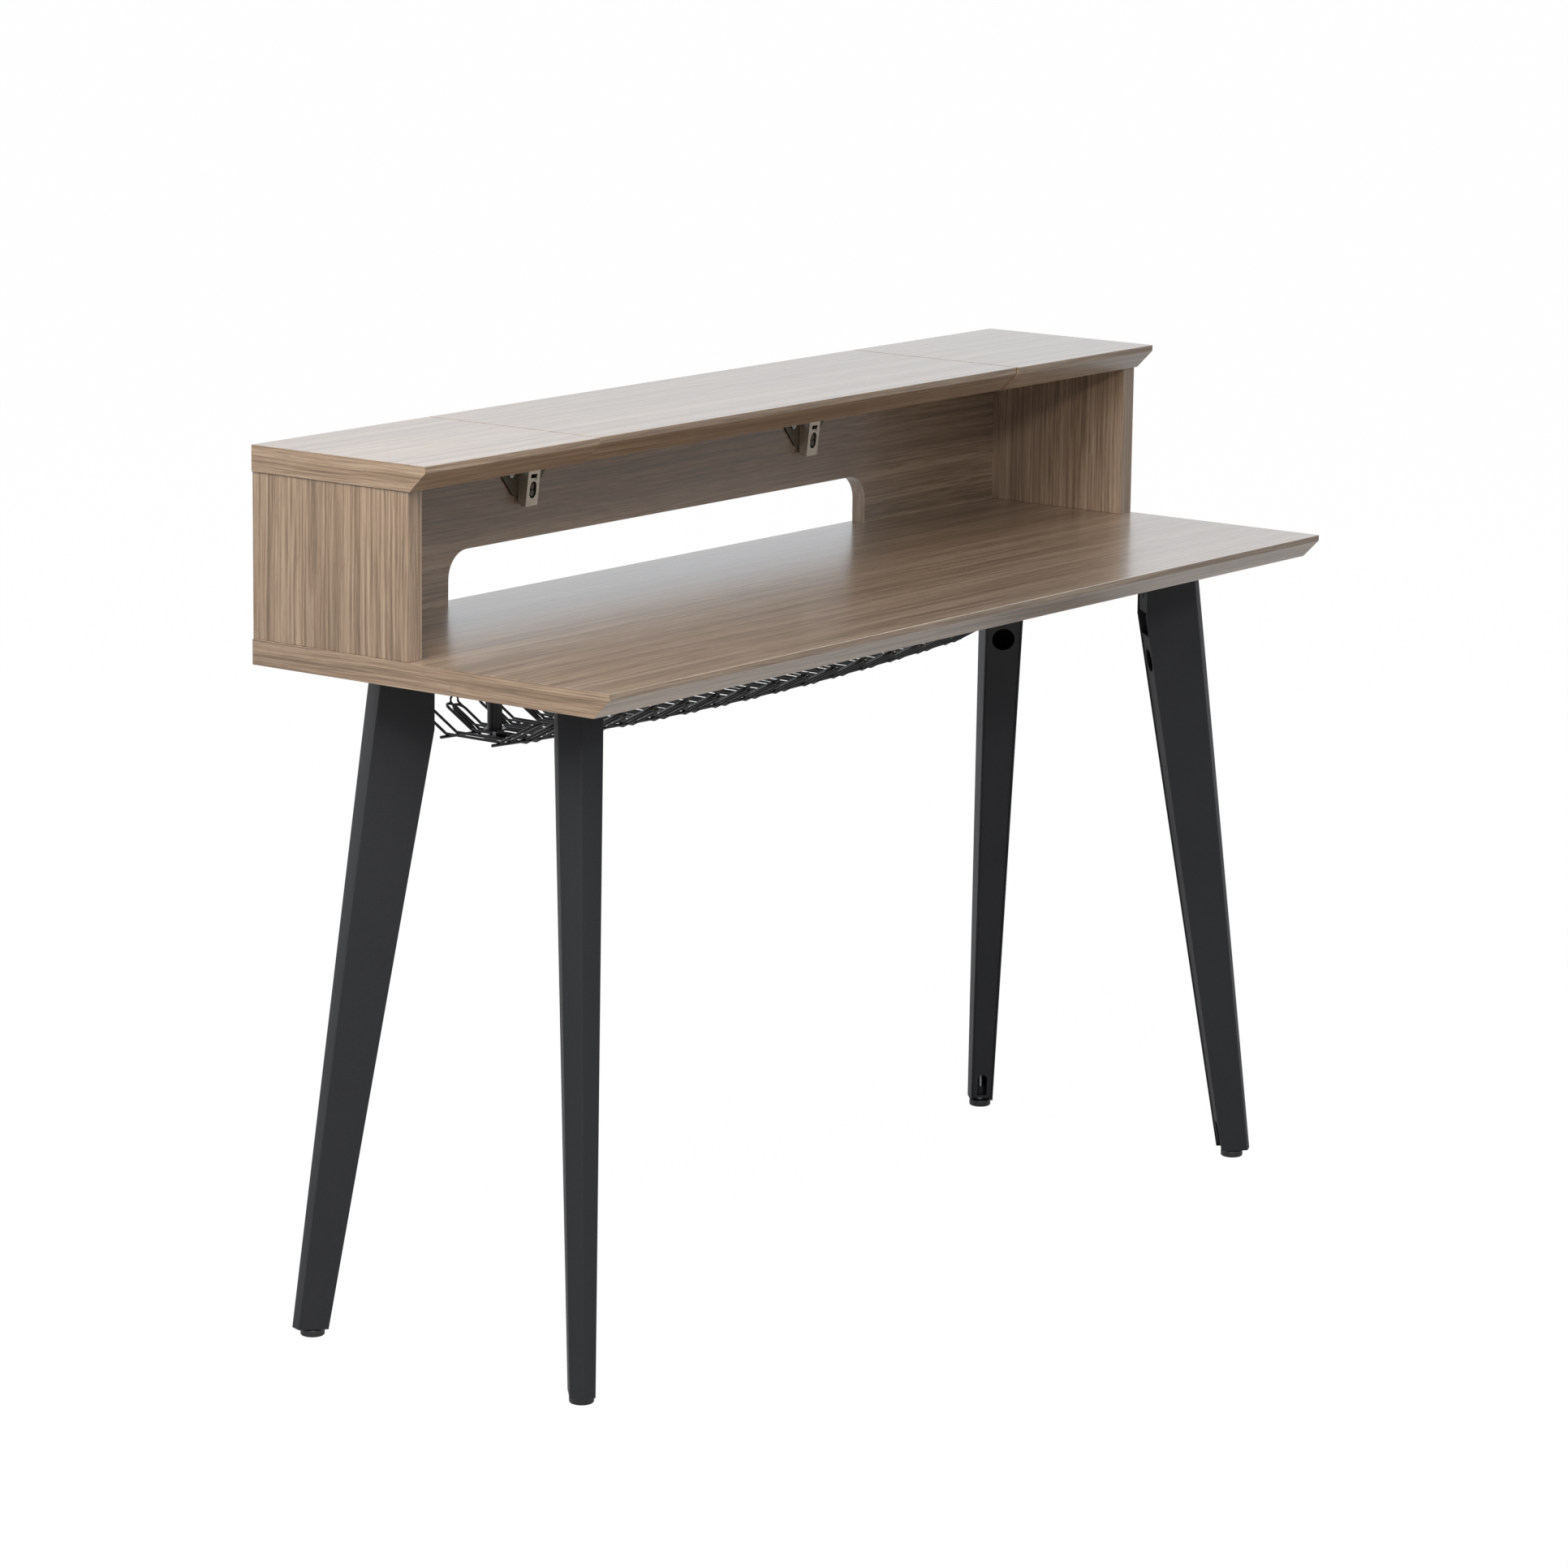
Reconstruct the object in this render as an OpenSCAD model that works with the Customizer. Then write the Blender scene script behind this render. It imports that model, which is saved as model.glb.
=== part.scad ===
// Writing desk with a low hutch: bevelled worktop on four splayed sheet steel legs, a wire cable
// tray under it, and a hutch whose middle top board is a lid on two swan-neck hinges.
// Millimetres. +X runs along the desk, the front faces -Y, and the feet stand on Z = 0.

/* [Worktop] */
// Length of the desk
desk_length = 1320; // [1100:10:1600]
// Depth of the worktop
desk_depth = 472; // [440:2:620]
// Height of the worktop's upper face
surface_height = 750; // [700:5:800]
// Thickness of the worktop board
top_thickness = 27; // [24:1:32]
// Upright part of the worktop's front edge, above the bevel
edge_land = 6.8; // [5:0.1:10]

/* [Hutch] */
// Height of the hutch's side panels
side_height = 174; // [150:1:230]
// Depth of the side panels
side_depth = 210; // [190:1:230]
// Thickness of the side panels
side_thickness = 22; // [18:1:25]
// How far the side panels stand in from the desk's ends
side_inset = 1.6; // [1:0.2:6]
// Thickness of the hutch's top boards and lid
hutch_top_thickness = 28; // [25:1:32]
// Depth of the hutch's top boards
hutch_top_depth = 234; // [220:1:260]
// Upright part of the hutch top's front edge, above the bevel
hutch_edge_land = 7.2; // [5:0.1:10]
// Thickness of the back panel
back_thickness = 18; // [16:1:20]
// How far the back panel stands in from the desk's rear edge
back_inset = 5.5; // [5:0.5:8]
// Width of the cable opening in the back panel
cutout_width = 752; // [560:2:800]
// Height of the cable opening
cutout_height = 58; // [40:1:70]
// Corner radius of the cable opening
cutout_radius = 30; // [15:1:38]

/* [Lid] */
// Width of the lid between its two seams
lid_width = 760.4; // [640:2:860]
// Seam between the lid and each fixed board
seam_gap = 1.6; // [1:0.1:2.5]
// How far the lid's front edge stands behind the fixed boards
lid_setback = 2; // [1:0.5:4]
// Distance of each hinge from the middle of the desk
hinge_offset = 253; // [200:1:300]
// Diameter of the hinge cup let into the lid
cup_diameter = 40; // [38:0.5:40]
// Depth of the hinge cup
cup_depth = 12; // [11.5:0.5:14]
// Width of the hinge arm
arm_width = 20; // [18:0.5:24]
// Width of the swan-neck link
link_width = 10; // [8:0.5:10.5]
// Diameter of the hinge pins
pin_diameter = 2; // [1.6:0.1:2.2]
// Sheet of the hinge arm
arm_sheet = 1.2; // [1:0.1:1.5]
// Half the span of the hinge's mounting plate
wing_reach = 38; // [32:1:44]

/* [Legs] */
// Distance of a leg's outer ridge from the desk's end, at its top
leg_inset = 91; // [70:1:200]
// Outer ridge of a leg at its top, from the middle of the leg set, along Y
ridge_top_y = 140.3; // [136:1:150]
// How far the leg set stands behind the middle of the desk
leg_set_back = 13.6; // [0:0.2:16]
// Direction in which a leg splays, from the X axis
leg_turn = 43; // [38:1:50]
// How far a leg's ridge splays out from its top to its foot
leg_splay = 84.8; // [60:1:90]
// Width across a leg at its top
leg_width_top = 47.4; // [42:0.2:54]
// Width across a leg at its foot
leg_width_foot = 26.8; // [26:0.2:32]
// Length of a leg's side wall at its top, before the knee is cut
leg_side_top = 65.1; // [58:0.5:72]
// Length of a leg's side wall at its foot
leg_side_foot = 31.5; // [30:0.5:36]
// Rise of the outer ridge as a share of half the leg's width
ridge_share = 0.45; // [0.3:0.01:0.6]
// Sheet thickness of a leg
leg_sheet = 2; // [1.5:0.1:2.5]
// Distance from the worktop down to the knee of the inner edge
knee_drop = 68; // [60:1:80]
// Diameter of the round hole in the inner plate
plate_hole = 27; // [20:0.5:30]
// Width of the slot at the foot of the inner plate
plate_slot = 11.4; // [9:0.2:13]

/* [Feet] */
// Diameter of a foot glide
glide_diameter = 26; // [20:0.5:28]
// Height of a foot glide
glide_height = 8; // [6:0.5:12]
// Gap between a glide and its leg with the foot screwed in
foot_gap = 1; // [0.6:0.2:3]
// Diameter of the foot's stud
stud_diameter = 8; // [6:1:10]
// Length of the stud above the glide
stud_length = 30; // [26:1:34]

/* [Cable tray] */
// Distance of the tray's rod ends from the desk's ends
tray_inset = 232; // [220:1:320]
// Diameter of the rods
rod_diameter = 3.4; // [3:0.1:4]
// Distance between the two rods
rod_spacing = 71; // [60:1:76]
// Sag of the rods at mid length
tray_sag = 12.5; // [0:0.5:18]
// Middle of the tray behind the middle of the desk
tray_y = 143; // [120:1:150]
// Distance from the worktop down to the rods' ends
tray_drop = 103.8; // [90:1:130]
// Wire of the tray's lower loops
wire_diameter = 2.6; // [2:0.1:3]
// Wire of the tray's upper loops
upper_wire = 2; // [1.6:0.1:2.4]
// Distance of the first loop in the rows from the rods' left end
first_inset = 58.3; // [54:0.1:70]
// Distance of the last loop in the rows from the rods' right end
last_inset = 29.1; // [24:0.1:50]
// Loops in each row
loop_count = 15; // [9:2:15]
// Width of one loop, between its wires' centres
loop_width = 12; // [10:0.2:16]
// Run of the loops' front flank
front_run = 34; // [30:1:44]
// Rise of the loops' front flank
front_rise = 18; // [15:1:22]
// Run of the loops' rear flank
rear_run = 39; // [32:1:42]
// Rise of the loops' rear flank
rear_rise = 23; // [18:1:26]
// Height of the upper row's bed above the lower row's
upper_lift = 4.8; // [4:0.1:6]
// Distance of the upper row along the desk from the lower row
upper_shift = 7; // [5:0.5:10]
// Diameter of the tray's posts
post_diameter = 16; // [14:1:18]

/* [Fasteners] */
// Diameter of the hutch's assembly screws
hutch_screw = 7; // [6:0.5:7]
// Diameter of the dowels
dowel_diameter = 8; // [6:1:8]
// Length of the dowels
dowel_length = 30; // [24:2:36]
// Diameter of the wood screws
wood_screw = 4; // [3.5:0.1:4.5]

/* [Hidden] */
$fn = 40;

// Clearances
fit = 0.05;          // radial, round a screw, dowel or pin in its bore
seat = 0.3;          // between a moving board and what it rests on
weld_gap = 0.2;      // between a leg's inner parts and its folded shell
cut = 1;             // how far a cutting shape runs past the face that it cuts

// Levels and faces
underside = surface_height - top_thickness;
ridge_top_x = desk_length / 2 - leg_inset;
front_y = -desk_depth / 2;
rear_y = desk_depth / 2;
hutch_z = surface_height + side_height;      // underside of the hutch's top boards
overall_height = hutch_z + hutch_top_thickness;
back_front_y = rear_y - back_inset - back_thickness;
back_rear_y = rear_y - back_inset;
side_inner_x = desk_length / 2 - side_inset - side_thickness;
seam_x = lid_width / 2 + seam_gap;           // inner end of a fixed top board

// Colours
laminate = "#a8937c";
steel_black = "#26282b";
nickel = "#b9b2a2";
zinc = "#c9cdd0";
beech = "#d8b98c";
black_plastic = "#1b1c1e";

function side_of(tag) = tag == "left" || tag == "fl" || tag == "rl" ? -1 : 1;
function end_of(tag) = tag == "fl" || tag == "fr" ? -1 : 1;

// ---------------------------------------------------------------- boards

// A board along X with a square back and a front edge undercut at 45 degrees below its land
module bevelled_board(length, depth, thickness, land) {
    run = thickness - land;
    translate([-length / 2, 0, 0])
        rotate([90, 0, 90])
            linear_extrude(length)
                polygon([[run, 0], [depth, 0], [depth, thickness], [0, thickness],
                    [0, thickness - land]]);
}

// Blind bore or screw shank along +Z from a point
module bore(at, diameter, depth) {
    translate([at[0], at[1], at[2] - cut])
        cylinder(d = diameter + 2 * fit, h = depth + cut);
}

hutch_screw_grip = 24;                       // length in the panel above the worktop
side_screw_y = [rear_y - side_depth + 40, rear_y - 50];
back_foot_x = (cutout_width / 2 + side_inner_x) / 2;
back_foot_spread = 70;
hutch_screw_points = [
    for (s = [-1, 1], y = side_screw_y)
        [s * (desk_length / 2 - side_inset - side_thickness / 2), y],
    for (s = [-1, 1], t = [-1, 1])
        [s * back_foot_x + t * back_foot_spread, (back_front_y + back_rear_y) / 2]
];
hutch_head_diameter = 10;
hutch_head_height = 4;

module worktop() {
    color(laminate)
        difference() {
            translate([0, front_y, underside])
                bevelled_board(desk_length, desk_depth, top_thickness, edge_land);
            for (p = hutch_screw_points) {
                bore([p[0], p[1], underside], hutch_screw, top_thickness + cut);
                bore([p[0], p[1], underside], hutch_head_diameter, hutch_head_height + fit);
            }
            for (tag = ["fl", "fr", "rl", "rr"], p = bracket_screw_points)
                at_leg(tag)
                    bore([p[0], p[1], underside], wood_screw, leg_screw_grip + fit);
            for (x = post_x)
                bore([x, tray_y, underside], tray_bolt, bolt_grip + fit);
        }
}

module hutch_screws() {
    color(zinc)
        for (p = hutch_screw_points)
            translate([p[0], p[1], underside]) {
                cylinder(d = hutch_head_diameter, h = hutch_head_height);
                cylinder(d = hutch_screw, h = top_thickness + hutch_screw_grip);
            }
}

// Dowels: side panels to top boards, back panel to side panels and to top boards
side_dowel_y = [rear_y - side_depth + 30, rear_y - 70];
back_dowel_z = [surface_height + 40, surface_height + side_height - 40];
board_dowel_x = [seam_x + 60, side_inner_x - 60];
back_mid_y = (back_front_y + back_rear_y) / 2;
upright_dowels = [
    for (s = [-1, 1], y = side_dowel_y)
        [s * (desk_length / 2 - side_inset - side_thickness / 2), y],
    for (s = [-1, 1], x = board_dowel_x) [s * x, back_mid_y]
];
dowel_rise = 12;                             // length of an upright dowel in the top board

module upright_dowel(extra = 0) {
    translate([0, 0, dowel_rise - dowel_length - extra])
        cylinder(d = dowel_diameter + 2 * extra, h = dowel_length + 2 * extra);
}

module level_dowel(side, extra = 0) {
    reach = side_thickness - dowel_wall;
    translate([side * (side_inner_x + reach + extra), 0, 0])
        rotate([0, -side * 90, 0])
            cylinder(d = dowel_diameter + 2 * extra, h = dowel_length + 2 * extra);
}
dowel_wall = 8;                              // board left behind a level dowel

module dowels(extra = 0) {
    color(beech) {
        for (p = upright_dowels)
            translate([p[0], p[1], hutch_z])
                upright_dowel(extra);
        for (s = [-1, 1], z = back_dowel_z)
            translate([0, back_mid_y, z])
                level_dowel(s, extra);
    }
}

module side_panel(side) {
    color(laminate)
        difference() {
            translate([side > 0 ? side_inner_x : -side_inner_x - side_thickness,
                rear_y - side_depth, surface_height])
                cube([side_thickness, side_depth, side_height]);
            for (p = hutch_screw_points)
                bore([p[0], p[1], surface_height], hutch_screw, hutch_screw_grip + fit);
            dowels(fit);
        }
}

module back_panel() {
    color(laminate)
        difference() {
            translate([-side_inner_x, back_front_y, surface_height])
                cube([2 * side_inner_x, back_thickness, side_height - seat]);
            cable_opening();
            for (p = hutch_screw_points)
                bore([p[0], p[1], surface_height], hutch_screw, hutch_screw_grip + fit);
            dowels(fit);
            for (s = [-1, 1], t = [-1, 1])
                translate([s * hinge_offset + t * wing_screw_x, back_front_y - cut, wing_screw_z])
                    rotate([-90, 0, 0])
                        cylinder(d = plate_screw + 2 * fit, h = plate_screw_grip + cut + fit);
        }
}

// Wide opening, open at the worktop, with two rounded upper corners
module cable_opening() {
    half = cutout_width / 2;
    corner_z = surface_height + cutout_height - cutout_radius;
    translate([-half, back_front_y - cut, surface_height - cut])
        cube([cutout_width, back_thickness + 2 * cut, cutout_height - cutout_radius + cut]);
    translate([-half + cutout_radius, back_front_y - cut, surface_height])
        cube([cutout_width - 2 * cutout_radius, back_thickness + 2 * cut, cutout_height]);
    for (s = [-1, 1])
        translate([s * (half - cutout_radius), back_front_y - cut, corner_z])
            rotate([-90, 0, 0])
                cylinder(r = cutout_radius, h = back_thickness + 2 * cut);
}

module top_board(side) {
    length = desk_length / 2 - seam_x;
    color(laminate)
        difference() {
            translate([side * (seam_x + length / 2), rear_y - hutch_top_depth, hutch_z])
                bevelled_board(length, hutch_top_depth, hutch_top_thickness, hutch_edge_land);
            dowels(fit);
            for (y = rest_screw_y)
                bore([side * (seam_x + rest_hold / 2), y, hutch_z], rest_screw, rest_grip + fit);
        }
}

module lid() {
    color(laminate)
        difference() {
            translate([0, rear_y - hutch_top_depth + lid_setback, hutch_z])
                bevelled_board(lid_width, hutch_top_depth - lid_setback, hutch_top_thickness,
                    hutch_edge_land);
            for (s = [-1, 1])
                translate([s * hinge_offset, 0, 0])
                    cup_outline(fit);
            for (s = [-1, 1], t = [-1, 1])
                bore([s * hinge_offset + t * ear_screw_x, ear_y, hutch_z], cup_screw,
                    cup_screw_grip + fit);
        }
}

// ---------------------------------------------------------------- lid rests

rest_hold = 26;                              // length screwed under the fixed board
rest_reach = 18;                             // length under the lid
rest_depth = 34;
rest_sheet = 2.5;
rest_setback = 62;                           // its middle behind the boards' front edge
rest_screw_spread = 9;
rest_y = rear_y - hutch_top_depth + rest_setback;
rest_screw_y = [rest_y - rest_screw_spread, rest_y + rest_screw_spread];
rest_screw = 3.5;
rest_grip = 14;
rest_head = 1.6;

module lid_rest(side) {
    color(steel_black)
        difference() {
            translate([side > 0 ? lid_width / 2 - rest_reach : -lid_width / 2 - seam_gap - rest_hold,
                rest_y - rest_depth / 2, hutch_z - seat - rest_sheet])
                cube([rest_hold + seam_gap + rest_reach, rest_depth, rest_sheet]);
            for (y = rest_screw_y)
                bore([side * (seam_x + rest_hold / 2), y, hutch_z - seat - rest_sheet], rest_screw,
                    rest_sheet + cut);
        }
}

module lid_rest_screws() {
    color(zinc)
        for (s = [-1, 1], y = rest_screw_y)
            translate([s * (seam_x + rest_hold / 2), y, hutch_z - seat - rest_sheet]) {
                translate([0, 0, -rest_head])
                    cylinder(d = 2 * rest_screw, h = rest_head);
                cylinder(d = rest_screw, h = seat + rest_sheet + rest_grip);
            }
}

// ---------------------------------------------------------------- hinges

// Pivots in the Y-Z plane: on the arm in front of the back panel, and in the lid above it
arm_pivot = [back_front_y - 4.6, hutch_z - 3];
cup_pivot = [back_rear_y - 1, hutch_z + 4.4];
eye_radius = pin_diameter / 2 + 1.1;
link_sheet = 2.2;

arm_front_y = back_front_y - 17.5;
arm_top_z = hutch_z - 0.9;
arm_knee_drop = 40;                          // drops are measured down from hutch_z
arm_foot_drop = 79;
arm_knee_z = hutch_z - arm_knee_drop;
arm_foot_z = hutch_z - arm_foot_drop;
arm_foot_lean = 4.7;
arm_panel_gap = 2.4;                         // between the arm's skirts and the back panel
window_width = 10;
window_drop = 50.3;
window_height = 6.5;
keyhole_width = 11;
keyhole_drop = 65;
keyhole_length = 7.5;                        // between the centres of its round ends
keyhole_z = [hutch_z - keyhole_drop, hutch_z - keyhole_drop + keyhole_length];

// The arm's side outline, drawn in Y and Z, shrunk by the sheet for its inside
module arm_outline(inset) {
    polygon([[arm_front_y + inset, arm_knee_z], [arm_front_y + inset, arm_top_z - 3],
        [arm_front_y + 3 + inset, arm_top_z + (inset > 0 ? cut : 0)],
        [arm_pivot[0] + eye_radius + (inset > 0 ? cut : 0), arm_top_z + (inset > 0 ? cut : 0)],
        [arm_pivot[0] + eye_radius + (inset > 0 ? cut : 0), arm_top_z - 8],
        [back_front_y - arm_panel_gap + (inset > 0 ? cut : 0), arm_top_z - 12],
        [back_front_y - arm_panel_gap + (inset > 0 ? cut : 0), arm_foot_z + 6],
        [back_front_y - arm_panel_gap - 4, arm_foot_z - (inset > 0 ? cut : 0)],
        [arm_front_y + arm_foot_lean + inset, arm_foot_z - (inset > 0 ? cut : 0)]]);
}

// Sweeps an outline drawn in Y and Z along X, centred on X = 0
module across(width) {
    translate([-width / 2, 0, 0])
        rotate([90, 0, 90])
            linear_extrude(width)
                children();
}

module pivot(at, diameter, length) {
    translate([-length / 2, at[0], at[1]])
        rotate([0, 90, 0])
            cylinder(d = diameter, h = length);
}

module hinge_arm(side) {
    color(nickel)
        translate([side * hinge_offset, 0, 0])
            difference() {
                across(arm_width)
                    arm_outline(0);
                across(arm_width - 2 * arm_sheet)
                    arm_outline(arm_sheet);
                pivot(arm_pivot, pin_diameter + 2 * fit, arm_width + 2 * cut);
                translate([-window_width / 2, arm_front_y - cut, hutch_z - window_drop])
                    cube([window_width, arm_sheet + 2 * cut, window_height]);
                keyhole();
            }
}

module keyhole() {
    depth = arm_foot_lean + arm_sheet + 2 * cut;
    for (z = keyhole_z)
        translate([0, arm_front_y - cut, z])
            rotate([-90, 0, 0])
                cylinder(d = keyhole_width, h = depth);
    translate([-keyhole_width / 2, arm_front_y - cut, keyhole_z[0]])
        cube([keyhole_width, depth, keyhole_length]);
}

module arm_pins() {
    color(zinc)
        for (s = [-1, 1])
            translate([s * hinge_offset, 0, 0])
                pivot(arm_pivot, pin_diameter, arm_width);
}

// Mounting plate: two wings on the back panel and a saddle that fills the arm
wing_sheet = 2;
wing_screw_x = 22;
wing_screw_drop = 43;
wing_top_drop = 16;
wing_tip_drop = 24;
wing_tip_length = 19;
wing_foot_drop = 69;
wing_screw_z = hutch_z - wing_screw_drop;
wing_top_z = hutch_z - wing_top_drop;
wing_tip_z = [hutch_z - wing_tip_drop - wing_tip_length, hutch_z - wing_tip_drop];
wing_foot_z = hutch_z - wing_foot_drop;
plate_screw = 4;
plate_screw_grip = 13;
plate_head = 2;
saddle_width = arm_width - 2 * arm_sheet - 2 * weld_gap;
saddle_drop = 24;
saddle_length = 50;
saddle_y = arm_front_y + 7;

module hinge_plate(side) {
    color(nickel)
        translate([side * hinge_offset, 0, 0])
            difference() {
                union() {
                    translate([0, back_front_y, 0])
                        rotate([90, 0, 0])
                            linear_extrude(wing_sheet)
                                wing_outline();
                    translate([-saddle_width / 2, saddle_y, hutch_z - saddle_drop - saddle_length])
                        cube([saddle_width, back_front_y - saddle_y, saddle_length]);
                }
                for (t = [-1, 1])
                    translate([t * wing_screw_x, back_front_y - wing_sheet - cut, wing_screw_z])
                        rotate([-90, 0, 0])
                            cylinder(d = plate_screw + 2 * fit, h = wing_sheet + 2 * cut);
                for (z = keyhole_z)
                    translate([0, saddle_y - cut, z])
                        rotate([-90, 0, 0])
                            cylinder(d = adjuster_shank + 2 * fit, h = adjuster_grip + cut + fit);
            }
}

module wing_outline() {
    half = arm_width / 2;
    polygon([[-half, wing_foot_z], [half, wing_foot_z], [half + 8, wing_foot_z + 2],
        [wing_reach, wing_tip_z[0]], [wing_reach, wing_tip_z[1]], [wing_reach - 8, wing_top_z],
        [8 - wing_reach, wing_top_z], [-wing_reach, wing_tip_z[1]], [-wing_reach, wing_tip_z[0]],
        [-half - 8, wing_foot_z + 2]]);
}

// Two adjusting screws in the saddle, seen through the arm's keyhole
adjuster_shank = 4;
adjuster_head = 7;
adjuster_rise = 3;
adjuster_grip = 7;

module hinge_adjusters() {
    color(zinc)
        for (s = [-1, 1], z = keyhole_z)
            translate([s * hinge_offset, saddle_y - adjuster_rise, z])
                rotate([-90, 0, 0]) {
                    cylinder(d = adjuster_head, h = adjuster_rise);
                    cylinder(d = adjuster_shank, h = adjuster_rise + adjuster_grip);
                }
}

module hinge_plate_screws() {
    color(zinc)
        for (s = [-1, 1], t = [-1, 1])
            translate([s * hinge_offset + t * wing_screw_x, back_front_y - wing_sheet - plate_head,
                wing_screw_z])
                rotate([-90, 0, 0]) {
                    cylinder(d = 2 * plate_screw, h = plate_head);
                    cylinder(d = plate_screw, h = plate_head + wing_sheet + plate_screw_grip);
                }
}

// Swan-neck link: up from the arm's pin and back over the panel to the cup's pin
module hinge_link(side) {
    color(nickel)
        translate([side * hinge_offset, 0, 0])
            difference() {
                union() {
                    pivot(arm_pivot, 2 * eye_radius, link_width);
                    pivot(cup_pivot, 2 * eye_radius, link_width);
                    across(link_width)
                        translate([arm_pivot[0] - link_sheet / 2, arm_pivot[1]])
                            square([link_sheet, cup_pivot[1] - arm_pivot[1] + link_sheet / 2]);
                    across(link_width)
                        translate([arm_pivot[0] - link_sheet / 2, cup_pivot[1] - link_sheet / 2])
                            square([cup_pivot[0] - arm_pivot[0] + link_sheet / 2, link_sheet]);
                }
                pivot(arm_pivot, pin_diameter + 2 * fit, link_width + 2 * cut);
                pivot(cup_pivot, pin_diameter + 2 * fit, link_width + 2 * cut);
            }
}

// Cup let into the lid: a round body with a pocket for the link, and two screwed ears
pocket_rear_y = cup_pivot[0] + eye_radius + 1.2;
pocket_front_y = arm_pivot[0] - link_sheet / 2 - 4;
pocket_depth = cup_depth - 1.7;
cup_y = pocket_rear_y + 1.2 - cup_diameter / 2;
ear_sheet = 1.2;
ear_depth = 14;
ear_reach = cup_diameter / 2 + 11;
ear_y = cup_y - 7;
ear_screw_x = ear_reach - 5;
cup_screw = 3.5;
cup_screw_grip = 14;
cup_screw_head = 0.5;
cup_pin_length = 22;

module cup_outline(extra) {
    translate([0, cup_y, hutch_z - (extra > 0 ? cut : 0)])
        cylinder(d = cup_diameter + 2 * extra, h = cup_depth + (extra > 0 ? cut + extra : 0),
            $fn = 64);
    translate([-ear_reach - extra, ear_y - ear_depth / 2 - extra, hutch_z - (extra > 0 ? cut : 0)])
        cube([2 * (ear_reach + extra), ear_depth + 2 * extra,
            ear_sheet + (extra > 0 ? cut + extra : 0)]);
}

module hinge_cup(side) {
    color(nickel)
        translate([side * hinge_offset, 0, 0])
            difference() {
                cup_outline(0);
                translate([-link_width / 2 - 0.5, pocket_front_y, hutch_z - cut])
                    cube([link_width + 1, pocket_rear_y - pocket_front_y, pocket_depth + cut]);
                pivot(cup_pivot, pin_diameter + 2 * fit, cup_pin_length + 2 * fit);
                for (t = [-1, 1])
                    bore([t * ear_screw_x, ear_y, hutch_z], cup_screw, ear_sheet + cut);
            }
}

module cup_pins() {
    color(zinc)
        for (s = [-1, 1])
            translate([s * hinge_offset, 0, 0])
                pivot(cup_pivot, pin_diameter, cup_pin_length);
}

module cup_screws() {
    color(zinc)
        for (s = [-1, 1], t = [-1, 1])
            translate([s * hinge_offset + t * ear_screw_x, ear_y, hutch_z])
                cylinder(d = cup_screw, h = cup_screw_grip);
}

// ---------------------------------------------------------------- legs

bracket_sheet = 3;
leg_top_z = underside - bracket_sheet;       // the folded shell ends under the bracket
leg_foot_z = glide_height + foot_gap;
leg_tall = underside - leg_foot_z;

// Places a leg part, drawn with its top ridge at the origin and its splay along +X
module at_leg(tag) {
    translate([0, leg_set_back, 0])
        mirror([side_of(tag) < 0 ? 1 : 0, 0, 0])
            mirror([0, end_of(tag) < 0 ? 1 : 0, 0])
                translate([ridge_top_x, ridge_top_y, 0])
                    rotate([0, 0, leg_turn])
                        children();
}

function down(z) = (underside - z) / leg_tall;           // 0 at the worktop, 1 at the foot
function half_width(z) = (leg_width_top + (leg_width_foot - leg_width_top) * down(z)) / 2;
function ridge_x(z) = leg_splay * down(z);
function wall_x(z) = ridge_x(z) - ridge_share * half_width(z);
function slope_x(z) = wall_x(z) - leg_side_top - (leg_side_foot - leg_side_top) * down(z);
function inner_x(z) = slope_x(min(z, underside - knee_drop));

// House-shaped section at a level, shrunk by the sheet and opened on its inner side
function section(z, sheet, open) =
    let (half = half_width(z) - sheet,
        slant = sqrt(1 + ridge_share * ridge_share),
        tip = ridge_x(z) - sheet * slant,
        wall = tip - ridge_share * half)
    [[tip, 0, z], [wall, half, z], [inner_x(z) - open, half, z], [inner_x(z) - open, -half, z],
        [wall, -half, z]];

// Solid through a stack of five-cornered sections, from the top down
module stacked(sections) {
    n = len(sections[0]);
    points = [for (s = sections, p = s) p];
    last = (len(sections) - 1) * n;
    polyhedron(points = points, faces = [
        [for (i = [n - 1:-1:0]) i],
        for (k = [0:len(sections) - 2], i = [0:n - 1])
            [k * n + i, k * n + (i + 1) % n, (k + 1) * n + (i + 1) % n, (k + 1) * n + i],
        [for (i = [0:n - 1]) last + i]]);
}

module leg_shell(tag) {
    knee_z = underside - knee_drop;
    color(steel_black)
        at_leg(tag)
            difference() {
                stacked([for (z = [leg_top_z, knee_z, leg_foot_z]) section(z, 0, 0)]);
                stacked([for (z = [leg_top_z + cut, knee_z, leg_foot_z - cut])
                    section(z, leg_sheet, 2 * cut)]);
            }
}

// Sloping inner plate, let in between the shell's side walls
plate_recess = 1.2;
plate_sheet = 2;
plate_top_drop = 91;
plate_foot_rise = 5;
plate_side_gap = 0.5;
hole_drop = 121;
slot_top_rise = 28;

plate_top_z = underside - plate_top_drop;
plate_foot_z = leg_foot_z + plate_foot_rise;
slope_run = slope_x(plate_foot_z) - slope_x(plate_top_z);
plate_length = norm([slope_run, plate_top_z - plate_foot_z]);
plate_lean = atan2(slope_run, plate_top_z - plate_foot_z);

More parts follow.
